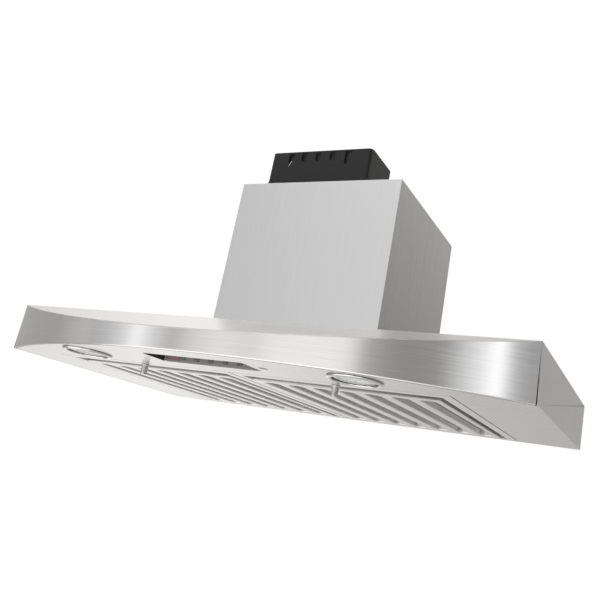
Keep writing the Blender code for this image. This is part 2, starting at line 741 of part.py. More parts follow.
def build_duct():
    """The outlet duct: slots near its top with a liner behind them, a bead, and ledges for the flaps."""
    outer = rounded(BLOWER_X, DUCT_Y, DUCT_CORNER, 5)
    inner_x = (BLOWER_X[0] + BLOWER_WALL, BLOWER_X[1] - BLOWER_WALL)
    inner_y = (THROAT_FRONT, THROAT_BACK)
    inner = rounded(inner_x, inner_y, DUCT_CORNER - BLOWER_WALL, 5)
    duct = prism("outlet_duct", outer, DUCT_LOW, DUCT_TOP, black_plastic(), smooth=True)
    bead_x = (BLOWER_X[0] - DUCT_BEAD, BLOWER_X[1] + DUCT_BEAD)
    bead_y = (DUCT_Y[0] - DUCT_BEAD, DUCT_Y[1] + DUCT_BEAD)
    bead = rounded(bead_x, bead_y, DUCT_CORNER + DUCT_BEAD, 5)
    join(duct, prism_data(bead, 0.3460, 0.3500))
    cut(duct, prism_data(inner, DUCT_LOW - 0.01, DUCT_TOP + 0.01))
    ledge_z = (FLAP_Z - FLAP_THICK / 2 - GAP - 0.0020, FLAP_Z - FLAP_THICK / 2 - GAP)
    ledge_x = (inner_x[0] + 0.012, inner_x[1] - 0.012)
    join(
        duct,
        box_data(ledge_x, (inner_y[0] - 0.001, inner_y[0] + 0.003), ledge_z),
        box_data(ledge_x, (inner_y[1] - 0.003, inner_y[1] + 0.001), ledge_z),
    )
    openings = []
    for i, x in enumerate(DUCT_SLOTS):
        reach = (DUCT_Y[0] - 0.01, THROAT_FRONT + 0.0005)
        openings.append(prism_data(slot_outline(i, x), *reach, "Y"))
    cut(duct, *openings)
    # The liner is a comb seen from above, and its teeth reach the front wall between the slots.
    comb = [(LINER_X[0], LINER_Y[0])]
    for left, right in zip(DUCT_SLOTS, DUCT_SLOTS[1:]):
        tooth = (left + right) / 2
        comb += [(tooth - 0.0008, LINER_Y[0]), (tooth - 0.0008, THROAT_FRONT - 0.0005)]
        comb += [(tooth + 0.0008, THROAT_FRONT - 0.0005), (tooth + 0.0008, LINER_Y[0])]
    comb += [(LINER_X[1], LINER_Y[0]), (LINER_X[1], LINER_Y[1]), (LINER_X[0], LINER_Y[1])]
    join(duct, prism_data(comb, LINER_LOW, DUCT_TOP - 0.0015))
    slit = [(z, x - 0.0007) for z, x in LINER_SLIT[::-1]] + [(z, x + 0.0007) for z, x in LINER_SLIT]
    cut(duct, prism_data(slit, LINER_Y[0] - 0.0005, LINER_Y[1] + 0.0005, "Y"))
    middle = (THROAT_FRONT + THROAT_BACK) / 2
    bearings = []
    for y in (middle - FLAP_SPREAD, middle + FLAP_SPREAD):
        for x in BLOWER_X:
            hole = disc((y, FLAP_Z), SPINDLE + GAP, 12)
            bearings.append(prism_data(hole, x - 0.006, x + 0.006, "X"))
    cut(duct, *bearings)

    metal = galvanised()
    flap_x = (inner_x[0] + 0.0015, inner_x[1] - 0.0015)
    pin_x = (BLOWER_X[0] + 0.0004, BLOWER_X[1] - 0.0004)
    flap_z = (FLAP_Z - FLAP_THICK / 2, FLAP_Z + FLAP_THICK / 2)
    for name, side in (("front", -1), ("back", 1)):
        axis = middle + side * FLAP_SPREAD
        edge = inner_y[0] + 0.0012 if side < 0 else inner_y[1] - 0.0012
        leaf = rounded(flap_x, tuple(sorted((axis, edge))), 0.0055, 3)
        flap = prism("damper_flap_" + name, leaf, *flap_z, metal)
        join(flap, prism_data(disc((axis, FLAP_Z), SPINDLE, 12), *pin_x, "X"))


def build_fan():
    """A double-inlet impeller: a middle disc and two end rings joined by forward-curved blades."""
    plastic = material("fan_plastic", (0.06, 0.06, 0.065), 0.50, 0.0)
    hub = [
        (SHAFT_RADIUS + GAP, -0.0140),
        (0.0160, -0.0140),
        (0.0160, -0.0012),
        (FAN_RADIUS - 0.0010, -0.0012),
        (FAN_RADIUS - 0.0010, 0.0012),
        (0.0160, 0.0012),
        (0.0160, 0.0060),
        (SHAFT_RADIUS + GAP, 0.0060),
    ]
    impeller = turned("impeller", hub, (FAN_X, FAN_Y, FAN_Z), plastic, "X", steps=36)
    blades = []
    for i in range(BLADES):
        outline = []
        for side, radii in ((1, (0, 0.5, 1)), (-1, (1, 0.5, 0))):
            for share in radii:
                radius = BLADE_INNER + (FAN_RADIUS - 0.002 - BLADE_INNER) * share
                lean = 0.09 * share**2 + side * 0.0006 / radius
                angle = 2 * math.pi * i / BLADES + lean
                outline.append((FAN_Y + radius * math.cos(angle), FAN_Z + radius * math.sin(angle)))
        blades.append(prism_data(outline[::-1], FAN_X - FAN_HALF + 0.001, FAN_X + FAN_HALF - 0.001, "X"))
    rings = []
    for end in (-1, 1):
        low, high = sorted((end * FAN_HALF, end * (FAN_HALF - 0.0025)))
        inner = BLADE_INNER + 0.004
        ring = [(FAN_RADIUS, low), (FAN_RADIUS, high), (inner, high), (inner, low)]
        rings.append(turned_data(ring, (FAN_X, FAN_Y, FAN_Z), "X", 36))
    join(impeller, *rings)
    join(impeller, *blades)

    steel = material("shaft_steel", (0.60, 0.60, 0.62), 0.25, 1.0)
    shaft_end = BLOWER_X[1] + 0.014
    shaft = [
        (0, FAN_X - 0.0160),
        (SHAFT_RADIUS, FAN_X - 0.0160),
        (SHAFT_RADIUS, shaft_end),
        (0, shaft_end),
    ]
    turned("fan_shaft", shaft, (0, FAN_Y, FAN_Z), steel, "X", steps=20)


def build_motor():
    start = FAN_X + 0.0090
    end = BLOWER_X[1] + 0.0100
    bore = SHAFT_RADIUS + GAP
    body = [
        (bore, start),
        (0.0150, start),
        (0.0150, start + 0.006),
        (0.0420, start + 0.010),
        (MOTOR_RADIUS, start + 0.018),
        (MOTOR_RADIUS, end - 0.018),
        (0.0420, end - 0.010),
        (0.0150, end - 0.006),
        (0.0150, end),
        (bore, end),
    ]
    turned("motor", body, (0, FAN_Y, FAN_Z), galvanised(), "X", steps=32)
    face = BLOWER_X[1] + 0.0045
    strap = [
        (MOTOR_RADIUS + GAP, face - 0.012),
        (MOTOR_RADIUS + GAP + 0.0016, face - 0.012),
        (MOTOR_RADIUS + GAP + 0.0016, face + 0.0020),
        (MOTOR_RADIUS + GAP, face + 0.0020),
    ]
    bracket = turned("motor_bracket", strap, (0, FAN_Y, FAN_Z), galvanised(), "X", steps=32)
    arms = []
    for i in range(3):
        angle = math.radians(90 + 120 * i)
        out = Vector((math.cos(angle), math.sin(angle)))
        side = Vector((-out.y, out.x)) * 0.006
        near = out * (MOTOR_RADIUS + GAP + 0.0008)
        far = out * 0.092
        corners = [near - side, far - side, far + side, near + side]
        arms.append(prism_data([(FAN_Y + c.x, FAN_Z + c.y) for c in corners], face, face + 0.0020, "X"))
    join(bracket, *arms)


def build_electrics():
    can = [(0, 0), (0.0150, 0), (0.0150, 0.0520), (0.0060, 0.0550), (0, 0.0550)]
    turned("motor_capacitor", can, (0.1340, -0.0900, TOP + 0.0024), grey_plastic(), steps=24)
    x = (-0.330, -0.240)
    y = (-0.120, -0.060)
    roof = TOP - SHEET - GAP
    case = box("junction_box", x, y, (roof - 0.032, roof), galvanised())
    cut(case, box_data((x[0] + 0.001, x[1] - 0.001), (y[0] + 0.001, y[1] - 0.001), (0, roof - 0.001)))
    box("junction_lid", x, y, (roof - 0.032 - GAP - 0.001, roof - 0.032 - GAP), galvanised())
    gland_at = (-0.200, -0.030, TOP)
    gland = [
        (0.0045, GAP),
        (0.0110, GAP),
        (0.0110, 0.0050),
        (0.0085, 0.0060),
        (0.0085, 0.0120),
        (0.0065, 0.0150),
        (0.0045, 0.0150),
    ]
    turned("cable_gland", gland, gland_at, black_plastic(), steps=20)


def main():
    clear_scene()
    build_canopy()
    build_hanging_plate()
    build_front_panel()
    build_underside()
    build_controls()
    for side, name in ((-1, "left"), (1, "right")):
        build_lamp(side, name)
        build_filter(side, name)
    build_chimney()
    build_scroll()
    build_duct()
    build_fan()
    build_motor()
    build_electrics()


main()
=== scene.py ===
import json
import math

import bmesh
import bpy
import numpy as np
from mathutils import Matrix, Vector

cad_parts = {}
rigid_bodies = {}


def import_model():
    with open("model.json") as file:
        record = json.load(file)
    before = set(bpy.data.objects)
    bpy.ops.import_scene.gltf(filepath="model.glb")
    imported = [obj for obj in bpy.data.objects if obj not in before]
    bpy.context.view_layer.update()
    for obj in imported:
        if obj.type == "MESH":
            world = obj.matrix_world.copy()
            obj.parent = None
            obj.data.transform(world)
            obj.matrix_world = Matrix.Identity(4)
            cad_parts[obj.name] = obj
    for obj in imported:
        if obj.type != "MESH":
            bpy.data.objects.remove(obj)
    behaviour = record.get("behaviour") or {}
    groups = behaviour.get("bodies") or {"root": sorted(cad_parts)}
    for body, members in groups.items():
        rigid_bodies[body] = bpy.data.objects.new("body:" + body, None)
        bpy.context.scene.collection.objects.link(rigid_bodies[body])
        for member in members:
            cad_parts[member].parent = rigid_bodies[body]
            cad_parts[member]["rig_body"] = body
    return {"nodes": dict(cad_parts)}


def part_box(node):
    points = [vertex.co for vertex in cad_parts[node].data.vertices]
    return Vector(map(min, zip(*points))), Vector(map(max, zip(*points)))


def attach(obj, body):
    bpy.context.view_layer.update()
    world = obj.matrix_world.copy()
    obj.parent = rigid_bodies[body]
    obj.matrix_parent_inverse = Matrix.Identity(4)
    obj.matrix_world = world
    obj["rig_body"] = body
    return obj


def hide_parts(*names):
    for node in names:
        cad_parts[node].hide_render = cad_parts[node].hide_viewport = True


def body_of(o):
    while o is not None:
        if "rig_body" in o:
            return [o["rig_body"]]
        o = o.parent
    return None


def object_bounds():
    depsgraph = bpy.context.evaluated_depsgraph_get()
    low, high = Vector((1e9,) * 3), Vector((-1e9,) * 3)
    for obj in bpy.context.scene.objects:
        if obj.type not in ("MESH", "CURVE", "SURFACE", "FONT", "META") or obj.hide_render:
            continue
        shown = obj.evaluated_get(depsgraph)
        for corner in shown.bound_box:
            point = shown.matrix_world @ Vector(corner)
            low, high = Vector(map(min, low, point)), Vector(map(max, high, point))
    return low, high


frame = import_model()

# Bow-fronted range hood: sheet steel, two baffle filters, two lamps, keys in a pocket.
# Metres, wall side at y = 0, front towards -y, the hood's mid height at z = 0.

cadLow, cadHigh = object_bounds()
shellLow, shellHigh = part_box("canopy_shell")
bendAngle = math.radians(40)  # edges sharper than this stay crisp
mergeDistance = 1e-6
edges = {"thin": 0.0002, "sheet": 0.0003, "thick": 0.0004, "cast": 0.0006}  # widths of the rounded edges


def put(material, kind, settings=None, **inputs):
    # one node, with its settings, and its inputs as numbers or as links
    node = material.node_tree.nodes.new(kind)
    for key, value in (settings or {}).items():
        setattr(node, key, value)
    for key, value in inputs.items():
        socket = node.inputs[int(key[1:])] if key[1:].isdigit() else node.inputs[key]
        if isinstance(value, bpy.types.NodeSocket):
            material.node_tree.links.new(value, socket)
        else:
            socket.default_value = value
    return node


def startMaterial(name, colour, metallic, roughness, **more):
    # a new material and its main shader, whose named inputs get plain values
    material = bpy.data.materials.new(name)
    material.use_nodes = True
    shader = material.node_tree.nodes["Principled BSDF"]
    shader.inputs["Base Color"].default_value = (*colour, 1)
    shader.inputs["Metallic"].default_value = metallic
    shader.inputs["Roughness"].default_value = roughness
    for key, value in more.items():
        shader.inputs[key.replace("_", " ")].default_value = value
    return material, shader


def link(material, output, socket):
    # one wire from an output to an input
    material.node_tree.links.new(output, socket)


def spread(material, value, low, high, fromLow=0.3, fromHigh=0.7):
    # low + (high - low) * (value - fromLow) / (fromHigh - fromLow), held between low and high
    node = put(material, "ShaderNodeMapRange", None, Value=value, i1=fromLow, i2=fromHigh, i3=low, i4=high)
    return node.outputs[0]


def tinted(material, factor, dark, light):
    # dark + factor * (light - dark)
    node = put(material, "ShaderNodeMix", {"data_type": "RGBA"}, Factor=factor)
    node.inputs[6].default_value = (*dark, 1)
    node.inputs[7].default_value = (*light, 1)
    return node.outputs[2]


steelLook = {
    "light": (0.745, 0.735, 0.715),
    "dark": (0.665, 0.655, 0.640),
    "roughness": (0.24, 0.34),
    "cloud": 0.05,  # slow change of roughness over the sheet
    "fine": 1500,  # grain lines to the metre, across the brushing
    "coarse": 260,
    "stretch": 0.006,  # a grain line's length is its width divided by this
    "bump": 0.35,
    "depth": 0.00001,
}
frontLook = dict(steelLook, light=(0.77, 0.765, 0.76), dark=(0.70, 0.695, 0.69), roughness=(0.17, 0.22),
                 cloud=0.02, fine=2400, coarse=600, bump=0.12)
chimneyLook = dict(steelLook, light=(0.655, 0.660, 0.670), dark=(0.625, 0.630, 0.640), roughness=(0.28, 0.32),
                   cloud=0.0, fine=2200, coarse=700, bump=0.12)
ribLook = dict(steelLook, light=(0.80, 0.785, 0.765), dark=(0.74, 0.73, 0.71), roughness=(0.30, 0.38))


def brushedSteel(name, along, look=steelLook, uv=False, anisotropy=0.0, tone=1.0, paintedShadeAndLight=None):
    # long thin noise along one axis: two sizes of grain drive colour, roughness and bump
    # with a uv map the highlight is stretched across the grain, a quarter turn from its u axis
    # the last argument is two heights and the brightness at each: painted shade low down and painted light
    # high up
    material, shader = startMaterial(name, look["light"], 1.0, 0.3, Anisotropic=anisotropy)
    if uv:
        vector = put(material, "ShaderNodeUVMap", {"uv_map": "grain"}).outputs["UV"]
    else:
        vector = put(material, "ShaderNodeTexCoord").outputs["Object"]
    grains = []
    for count in (look["fine"], look["coarse"]):
        scale = [count] * 3
        scale["XYZ".index(along)] = count * look["stretch"]
        place = put(material, "ShaderNodeMapping", None, Vector=vector, Scale=scale)
        noise = put(material, "ShaderNodeTexNoise", None, Vector=place.outputs[0], Scale=1.0, Detail=2.0)
        grains.append(noise.outputs["Fac"])
    both = put(material, "ShaderNodeMath", {"operation": "ADD"}, i0=grains[0], i1=grains[1]).outputs[0]
    cloud = put(material, "ShaderNodeTexNoise", None, Vector=vector, Scale=7.0, Detail=3.0)
    low, high = look["roughness"]
    rough = spread(material, both, low, high, 0.7, 1.3)
    worn = put(material, "ShaderNodeMath", {"operation": "MULTIPLY_ADD"}, i0=cloud.outputs["Fac"],
               i1=look["cloud"], i2=rough)
    link(material, worn.outputs[0], shader.inputs["Roughness"])
    dark = [c * tone for c in look["dark"]]
    light = [c * tone for c in look["light"]]
    colour = tinted(material, spread(material, both, 0, 1, 0.7, 1.3), dark, light)
    # painted shade and light: the colour scaled by height, from dim at the low height to bright at the high
    # one
    if paintedShadeAndLight:
        heightLow, heightHigh, dim, bright = paintedShadeAndLight
        level = put(material, "ShaderNodeSeparateXYZ", None, Vector=vector).outputs[2]
        share = spread(material, level, dim, bright, heightLow, heightHigh)
        scaled = put(material, "ShaderNodeVectorMath", {"operation": "SCALE"}, i0=colour, Scale=share)
        colour = scaled.outputs[0]
    link(material, colour, shader.inputs["Base Color"])
    bump = put(material, "ShaderNodeBump", None, Height=grains[1], Strength=look["bump"],
               Distance=look["depth"])
    link(material, bump.outputs[0], shader.inputs["Normal"])
    if uv and anisotropy:
        shader.inputs["Anisotropic Rotation"].default_value = 0.25
        tangent = put(material, "ShaderNodeTangent", {"direction_type": "UV_MAP", "uv_map": "grain"})
        link(material, tangent.outputs[0], shader.inputs["Tangent"])
    return material


def speckled(name, dark, light, metallic, roughness, scale, bump=0.0, **more):
    # a fine even noise for colour, roughness and bump
    material, shader = startMaterial(name, light, metallic, roughness, **more)
    vector = put(material, "ShaderNodeTexCoord").outputs["Object"]
    noise = put(material, "ShaderNodeTexNoise", None, Vector=vector, Scale=scale, Detail=4.0)
    link(material, tinted(material, spread(material, noise.outputs["Fac"], 0, 1), dark, light),
         shader.inputs["Base Color"])
    rough = spread(material, noise.outputs["Fac"], roughness * 0.85, roughness * 1.15)
    link(material, rough, shader.inputs["Roughness"])
    if bump:
        height = put(material, "ShaderNodeBump", None, Height=noise.outputs["Fac"], Strength=bump,
                     Distance=0.0001)
        link(material, height.outputs[0], shader.inputs["Normal"])
    return material


def spangled(name):
    # zinc crystals: cells of the Voronoi pattern, each with its own tone and gloss
    material, shader = startMaterial(name, (0.55, 0.57, 0.58), 1.0, 0.4)
    vector = put(material, "ShaderNodeTexCoord").outputs["Object"]
    cells = put(material, "ShaderNodeTexVoronoi", None, Vector=vector, Scale=140.0)
    tone = put(material, "ShaderNodeSeparateColor", None, Color=cells.outputs["Color"]).outputs[0]
    colour = tinted(material, tone, (0.44, 0.46, 0.47), (0.63, 0.64, 0.65))
    link(material, colour, shader.inputs["Base Color"])
    link(material, spread(material, tone, 0.32, 0.5, 0, 1), shader.inputs["Roughness"])
    return material


alongX = brushedSteel("steelBrushedAcross", "X")
alongY = brushedSteel("steelBrushedBack", "Y", tone=1.05)
alongZ = brushedSteel("steelBrushedUp", "Z")
panelSteel = brushedSteel("steelFrontPanel", "X", frontLook, uv=True, anisotropy=0.85)
chimneySteel = brushedSteel("steelChimneyFront", "Z", chimneyLook)
coverLow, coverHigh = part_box("chimney_cover")
# the chimney's sides carry painted shade towards the bottom and painted light towards the top
chimneySides = brushedSteel("steelChimneySides", "Z", paintedShadeAndLight=(coverLow.z, coverHigh.z, 0.84, 1.20))
ribSteel = brushedSteel("steelFilters", "Y", ribLook)
baffleSteel = brushedSteel("steelBaffles", "Y", dict(ribLook, roughness=(0.40, 0.48)))
# the filters' steel at 0.60 of its colour: painted shade for the groove's walls
grooveShadedSteel = brushedSteel("steelGroovePaintedShade", "Y", dict(ribLook, roughness=(0.45, 0.52)), tone=0.60)
# near black: a painted shadow for the gap behind the front panel's fold
seamShade = speckled("seamShade", (0.012, 0.012, 0.012), (0.022, 0.022, 0.022), 0.0, 0.7, 900.0,
                     Specular_IOR_Level=0.1)
chromeFinish = speckled("chromeFinish", (0.80, 0.80, 0.80), (0.88, 0.88, 0.88), 1.0, 0.07, 60.0)
ringSteel = speckled("ringSteel", (0.60, 0.60, 0.59), (0.68, 0.68, 0.67), 1.0, 0.22, 300.0)
knobSteel = speckled("knobSteel", (0.56, 0.55, 0.53), (0.64, 0.63, 0.61), 1.0, 0.27, 400.0)
zincFinish = spangled("zincFinish")
springFinish = speckled("springFinish", (0.40, 0.41, 0.43), (0.52, 0.53, 0.55), 1.0, 0.3, 500.0)
shaftFinish = speckled("shaftFinish", (0.52, 0.52, 0.54), (0.66, 0.66, 0.68), 1.0, 0.22, 900.0)
ductPlastic = speckled("ductPlastic", (0.012, 0.011, 0.012), (0.017, 0.016, 0.017), 0.0, 0.5, 1600.0, 0.12,
                       Specular_IOR_Level=0.22)
# the duct's end faces: the black plastic lightened as painted light on its sides
ductEndsPaintedLight = speckled("ductEndsPaintedLight", (0.036, 0.035, 0.034), (0.046, 0.045, 0.043), 0.0, 0.50, 1600.0,
                          0.12)
blackPlastic = speckled("blackPlastic", (0.016, 0.016, 0.017), (0.026, 0.026, 0.027), 0.0, 0.38, 1400.0, 0.2)
fanPlastic = speckled("fanPlastic", (0.05, 0.05, 0.055), (0.075, 0.075, 0.08), 0.0, 0.5, 900.0, 0.2)
greyPlastic = speckled("greyPlastic", (0.30, 0.29, 0.28), (0.36, 0.35, 0.34), 0.0, 0.4, 1200.0, 0.15)
boardFinish = speckled("boardFinish", (0.010, 0.10, 0.04), (0.02, 0.16, 0.07), 0.0, 0.45, 300.0)
displayGlass = speckled("displayGlass", (0.29, 0.20, 0.20), (0.35, 0.25, 0.25), 0.0, 0.14, 220.0,
                        Coat_Weight=0.6)
sensorGlass = speckled("sensorGlass", (0.02, 0.012, 0.015), (0.035, 0.02, 0.022), 0.0, 0.15, 300.0)
lampGlass = speckled("lampGlass", (0.86, 0.88, 0.88), (0.93, 0.94, 0.94), 0.0, 0.06, 80.0, Alpha=0.45)
ledFinish = speckled("ledFinish", (0.90, 0.86, 0.70), (1.0, 0.97, 0.85), 0.0, 0.4, 700.0)
keyPlastic = speckled("keyPlastic", (0.17, 0.165, 0.16), (0.21, 0.205, 0.20), 0.0, 0.35, 1200.0, 0.15)
motorPaint = speckled("motorPaint", (0.05, 0.05, 0.052), (0.07, 0.07, 0.072), 0.0, 0.45, 700.0, 0.2)
whiteCan = speckled("whiteCan", (0.75, 0.75, 0.73), (0.82, 0.82, 0.80), 0.0, 0.35, 500.0)
print("materials:", len(bpy.data.materials))


def gridFaces(rows, columns, wrapRows=False, wrapColumns=False):
    # each cell joins point (i, j) to the next row and the next column
    i = np.arange(rows if wrapRows else rows - 1)
    j = np.arange(columns if wrapColumns else columns - 1)
    i, j = np.meshgrid(i, j, indexing="ij")
    n, m = (i + 1) % rows, (j + 1) % columns
    cells = [i * columns + j, n * columns + j, n * columns + m, i * columns + m]
    return np.stack(cells, -1).reshape(-1, 4).tolist()


def roundCorners(profile, radius, steps=4, closed=True):
    # each corner C becomes (1-t)^2 A + 2t(1-t) C + t^2 B, with A and B set back along its two sides
    p = np.array(profile, float)
    back, ahead = np.roll(p, 1, 0) - p, np.roll(p, -1, 0) - p
    backLength = np.linalg.norm(back, axis=1, keepdims=True)
    aheadLength = np.linalg.norm(ahead, axis=1, keepdims=True)
    setBack = np.minimum(radius, 0.48 * np.minimum(backLength, aheadLength))
    a, b = p + back / backLength * setBack, p + ahead / aheadLength * setBack
    t = np.linspace(0, 1, steps + 1)[:, None, None]
    curve = ((1 - t) ** 2 * a + 2 * t * (1 - t) * p + t**2 * b).transpose(1, 0, 2)
    if closed:
        return curve.reshape(-1, p.shape[1])
    return np.vstack([p[:1], curve[1:-1].reshape(-1, p.shape[1]), p[-1:]])


def roundedBox(x, y, radius, steps=5):
    # a rectangle's outline with round corners, anticlockwise
    corners = [(x[0], y[0]), (x[1], y[0]), (x[1], y[1]), (x[0], y[1])]
    return roundCorners(corners, radius, steps)


def finishMesh(bm, name, finish, body, stands=(), angle=bendAngle, grain=None):
    # merges doubles, turns faces outwards, marks crisp edges, and hands the piece to its body
    bmesh.ops.remove_doubles(bm, verts=bm.verts, dist=mergeDistance)
    bmesh.ops.recalc_face_normals(bm, faces=bm.faces)
    for face in bm.faces:
        face.smooth = True
    mesh = bpy.data.meshes.new(name)
    bm.to_mesh(mesh)
    bm.free()
    mesh.set_sharp_from_angle(angle=angle)
    if grain:
        co = np.empty(len(mesh.vertices) * 3, np.float32)
        mesh.vertices.foreach_get("co", co)
        corner = np.empty(len(mesh.loops), np.int32)
        mesh.loops.foreach_get("vertex_index", corner)
        layer = mesh.uv_layers.new(name="grain")
        layer.data.foreach_set("uv", grain(co.reshape(-1, 3))[corner].astype(np.float32).ravel())
    obj = bpy.data.objects.new(name, mesh)
    bpy.context.scene.collection.objects.link(obj)
    for one in finish if isinstance(finish, (list, tuple)) else [finish]:
        mesh.materials.append(one)
    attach(obj, body)
    if stands:
        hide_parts(*([stands] if isinstance(stands, str) else stands))
    even = obj.modifiers.new("evenShading", "WEIGHTED_NORMAL")
    even.keep_sharp = True
    return obj


def meshOf(points, faces):
    # rows of x, y, z, and for each face the numbers of its points
    rough = bpy.data.meshes.new("rough")
    rough.from_pydata(np.asarray(points, float).reshape(-1, 3).tolist(), [], faces)
    bm = bmesh.new()
    bm.from_mesh(rough)
    bpy.data.meshes.remove(rough)
    return bm


def turnedPiece(name, profile, centre, finish, body, stands=(), steps=64, closed=False):
    # radius and height turned about an upright axis: (r cos a, r sin a, h) from its centre
    p = np.array(profile, float)
    angle = np.linspace(0, 2 * math.pi, steps, endpoint=False)[:, None]
    r, h = p[None, :, 0], p[None, :, 1] + 0 * angle
    points = np.stack([r * np.cos(angle), r * np.sin(angle), h], -1) + np.array(centre, float)
    bm = meshOf(points, gridFaces(steps, len(p), True, closed))
    bmesh.ops.remove_doubles(bm, verts=bm.verts, dist=mergeDistance)
    empty = [f for f in bm.faces if f.calc_area() < 1e-14]
    bmesh.ops.delete(bm, geom=empty, context="FACES")
    return finishMesh(bm, name, finish, body, stands)


def loftGrid(loops):
    # outlines of the same count, joined one to the next, with the first and last closed by a face
    loops = np.array(loops, float)
    rows, columns = loops.shape[:2]
    faces = gridFaces(rows, columns, False, True)
    faces.append(list(range(columns)))
    faces.append(list(range((rows - 1) * columns, rows * columns)))
    return loops, faces


def slabLoops(x, y, z, corner, edge, axis="Z", steps=5):
    # a rounded rectangle raised from z[0] to z[1], drawn in at both ends by edge * (1 - sin a) at
    # edge * (1 - cos a) from each end; along Y, the outline's second number is the height
    rows = []
    for share in np.linspace(0, 1, 5):
        turn = math.pi / 2 * share
        inset, rise = edge * (1 - math.sin(turn)), edge * (1 - math.cos(turn))
        rows.append((inset, z[0] + rise))
    rows += [(inset, z[0] + z[1] - level) for inset, level in rows[::-1]]
    loops = []
    for inset, level in rows:
        wide, deep = (x[0] + inset, x[1] - inset), (y[0] + inset, y[1] - inset)
        flat = roundedBox(wide, deep, max(corner - inset, 1e-4), steps)
        loops.append(np.column_stack([flat, np.full(len(flat), level)]))
    order = {"Z": [0, 1, 2], "Y": [0, 2, 1]}[axis]
    return np.array(loops)[..., order]


def facing(normal):
    # 0, 1 or 2, for the axis that the normal is nearest to
    return int(np.argmax([abs(c) for c in normal]))


def softened(node, finishes, width, segments=2, change=None, picked=None, sort=None,
             angle=bendAngle):
    # the node's solid with its sharp edges rounded; finishes go on by a rule, or by where a face looks
    flatBelow, sharpAbove = math.radians(0.6), math.radians(32)
    source = frame["nodes"][node]
    bm = bmesh.new()
    bm.from_mesh(source.data)
    bmesh.ops.remove_doubles(bm, verts=bm.verts, dist=mergeDistance)
    bmesh.ops.dissolve_limit(bm, angle_limit=flatBelow, verts=bm.verts, edges=bm.edges)
    if change:
        change(bm)
    if width:
        sharp = [e for e in bm.edges if len(e.link_faces) == 2 and e.calc_face_angle(0) > sharpAbove]
        if picked:
            sharp = [e for e in sharp if picked(e)]
        bmesh.ops.bevel(bm, geom=sharp, offset=width, segments=segments, profile=0.5, affect="EDGES",
                        clamp_overlap=False)
    if isinstance(finishes, (list, tuple)):
        for face in bm.faces:
            face.material_index = sort(face) if sort else facing(face.normal)
    return finishMesh(bm, node + ".skin", finishes, body_of(source)[0], node, angle)


sheetFinishes = [alongY, alongX, alongX]  # for faces that look along X, Y and Z

frontPanel = {
    "thickness": 0.0012,
    "roll": 0.0021,  # radius of the folded bottom edge
    "lip": 0.0080,
    "joint": (0.0003, 0.0016, 0.0009),  # joint behind the fold, near black as a painted shadow in the gap: start, end and depth
    "sideGap": 0.0003,  # extra room beside each end
    "topGap": 0.0010,
    "setBack": 0.0005,  # of the outer face, behind the true bow
    "nip": 0.0004,  # rounding of the cut top edge
    "rows": 12,
    "columns": 180,
}
bow = {"halfWidth": 0.450, "sides": 0.468, "middle": 0.5975, "roofFall": 0.368}


def buildFrontPanel(p=frontPanel):
    # a cross-section of depths inwards d and heights z, carried round the bow of radius R about c:
    # each point is ((R - d) sin a, c - (R - d) cos a, z)
    low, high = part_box("front_panel")
    rise = bow["middle"] - bow["sides"]
    radius = (bow["halfWidth"] ** 2 + rise**2) / (2 * rise)
    centreY = radius - bow["middle"]
    half = high.x - p["sideGap"]
    angle = np.linspace(-1, 1, p["columns"])[:, None] * math.asin(half / radius)
    outer, sheet, roll, nip, floor = p["setBack"], p["thickness"], p["roll"], p["nip"], low.z
    ahead = -(centreY - (radius - outer) * np.cos(angle)) - bow["sides"]
    top = shellHigh.z - bow["roofFall"] * ahead - p["topGap"]  # follows the fall of the roof

    turn = np.linspace(0, math.pi / 2, 9)
    tight = roll - sheet
    fold = np.array([(roll * (1 - math.sin(a)), roll * (1 - math.cos(a))) for a in turn[:-1]])
    backFold = np.array([(sheet + tight * (1 - math.sin(a)), sheet + tight * (1 - math.cos(a)))
                         for a in turn[-2::-1]])
    wall = floor + roll + (top - nip - floor - roll) * np.linspace(0, 1, p["rows"])[None, :]
    topIn = np.array([[nip / 4, nip, sheet - nip, sheet - nip / 4]])
    topDown = np.array([[nip / 4, 0.0, 0.0, nip / 4]])
    start, end, deep = p["joint"]
    edge, chamfer = p["lip"], nip / 2
    lip = np.array([(edge - chamfer, sheet), (edge, sheet - chamfer), (edge, chamfer), (edge - chamfer, 0),
                    (roll + end, 0), (roll + end, deep), (roll + start, deep), (roll + start, 0)])
    depth = np.hstack([fold[None, :, 0] + 0 * angle, np.zeros_like(wall), topIn + 0 * angle,
                       np.full_like(wall, sheet), backFold[None, :, 0] + 0 * angle,
                       lip[None, :, 0] + 0 * angle])
    height = np.hstack([floor + fold[None, :, 1] + 0 * angle, wall, top - topDown, wall[:, ::-1],
                        floor + backFold[None, :, 1] + 0 * angle, floor + lip[None, :, 1] + 0 * angle])
    reach = radius - outer - depth
    points = np.stack([reach * np.sin(angle), centreY - reach * np.cos(angle), height], -1)
    rows, columns = points.shape[:2]
    faces = gridFaces(rows, columns, False, True)
    faces += [list(range(columns)), list(range((rows - 1) * columns, rows * columns))]

    def grain(co):
        # u is the length of arc round the bow, v the height
        return np.column_stack([radius * np.arctan2(co[:, 0], centreY - co[:, 1]), co[:, 2]])

    bm = meshOf(points, faces)
    slack = 1e-5
    for face in bm.faces:  # the joint's own faces are shaded
        middle = face.calc_center_median()
        inwards = radius - math.hypot(middle.x, centreY - middle.y) - outer - roll
        across = start - slack < inwards < end + slack
        up = slack < middle.z - floor < deep + slack
        face.material_index = int(across and up and len(face.verts) == 4)
    return finishMesh(bm, "frontPanel", [panelSteel, seamShade], "hood", "front_panel",
                      math.radians(50), grain)


shellLook = {"edge": 0.0009, "edgeSteps": 4, "creaseDrop": 0.0016}


